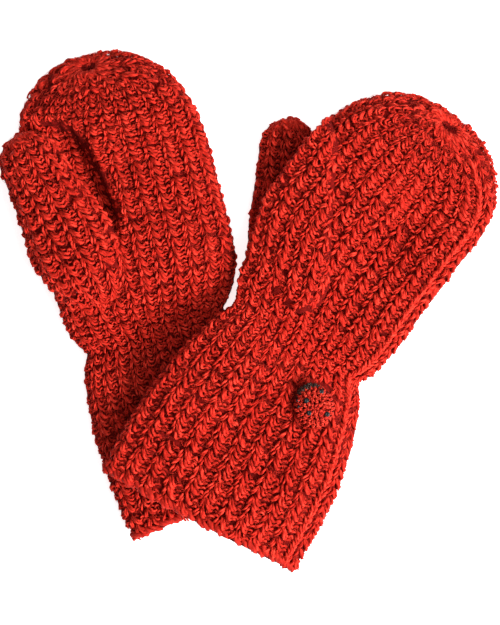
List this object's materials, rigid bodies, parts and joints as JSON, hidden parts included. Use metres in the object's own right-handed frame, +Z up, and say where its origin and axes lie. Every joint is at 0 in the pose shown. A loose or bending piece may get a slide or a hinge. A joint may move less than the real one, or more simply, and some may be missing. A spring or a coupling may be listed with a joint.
{
  "type": "crocheted mittens",
  "caption": "Pair of hand-crocheted mittens with flared cuffs, gathered crowns, sewn thumbs and side seams, and a ladybird button on each cuff.",
  "frame": {"origin": "centre of the bottom of the pair's box, on the surface it lies on", "axes": "+Z up from the surface, +Y from the cuffs towards the finger ends, +X towards the right mitten's fingers"},
  "size_m": [0.2984, 0.3123, 0.0418],
  "materials": {
    "yarn": "thick two-ply wool worked in back-loop rows that stand up as ribs",
    "thread": "fine red crochet cotton",
    "felt": "dark brown felt and fine dark crochet",
    "bead": "small black glass-like seed beads"
  },
  "bodies": {
    "left_cuff_group": {"left_cuff": "yarn", "left_cuff_seam": "yarn", "left_button_shank": "thread"},
    "left_hand_group": {"left_hand": "yarn", "left_hand_seam": "yarn", "left_crown_gather": "yarn", "left_thumb_join": "yarn"},
    "left_thumb_group": {"left_thumb": "yarn", "left_thumb_gather": "yarn"},
    "left_button_group": {"left_button_back": "felt", "left_button_cover": "thread", "left_button_head": "felt", "left_button_spot_1": "bead", "left_button_spot_2": "bead", "left_button_spot_3": "bead", "left_button_spot_4": "bead", "left_button_spot_5": "bead", "left_button_spot_6": "bead"},
    "right_cuff_group": {"right_cuff": "yarn", "right_cuff_seam": "yarn", "right_button_shank": "thread"},
    "right_hand_group": {"right_hand": "yarn", "right_hand_seam": "yarn", "right_crown_gather": "yarn", "right_thumb_join": "yarn"},
    "right_thumb_group": {"right_thumb": "yarn", "right_thumb_gather": "yarn"},
    "right_button_group": {"right_button_back": "felt", "right_button_cover": "thread", "right_button_head": "felt", "right_button_spot_1": "bead", "right_button_spot_2": "bead", "right_button_spot_3": "bead", "right_button_spot_4": "bead", "right_button_spot_5": "bead", "right_button_spot_6": "bead"}
  },
  "joints": [
    {"name": "left_wrist_bend", "type": "hinge", "parent": "left_cuff_group", "child": "left_hand_group", "pos_m": [-0.0598, -0.0117, 0.0218], "axis": [0.9483, 0.3173, 0], "range_deg": [0, 60]},
    {"name": "left_thumb_swing", "type": "hinge", "parent": "left_hand_group", "child": "left_thumb_group", "pos_m": [-0.09568, 0.02056, 0.0132], "axis": [0, 0, 1], "range_deg": [0, 40]},
    {"name": "left_button_turn", "type": "hinge", "parent": "left_cuff_group", "child": "left_button_group", "pos_m": [-0.02664, -0.0302, 0.0076], "axis": [0, 0, 1], "range_deg": [-15, 15]},
    {"name": "upper_mitten_lift", "type": "slide", "parent": "left_cuff_group", "child": "right_cuff_group", "axis": [0, 0, 1], "range_m": [0, 0.08]},
    {"name": "right_wrist_bend", "type": "hinge", "parent": "right_cuff_group", "child": "right_hand_group", "pos_m": [0.028, -0.0186, 0.031], "axis": [0.841, -0.541, 0], "range_deg": [0, 60]},
    {"name": "right_thumb_swing", "type": "hinge", "parent": "right_hand_group", "child": "right_thumb_group", "pos_m": [0.01896, 0.02701, 0.0142], "axis": [0, 0, 1], "range_deg": [0, 15]},
    {"name": "right_button_turn", "type": "hinge", "parent": "right_cuff_group", "child": "right_button_group", "pos_m": [0.03739, -0.0544, 0.028], "axis": [0, 0, 1], "range_deg": [-15, 15]}
  ]
}
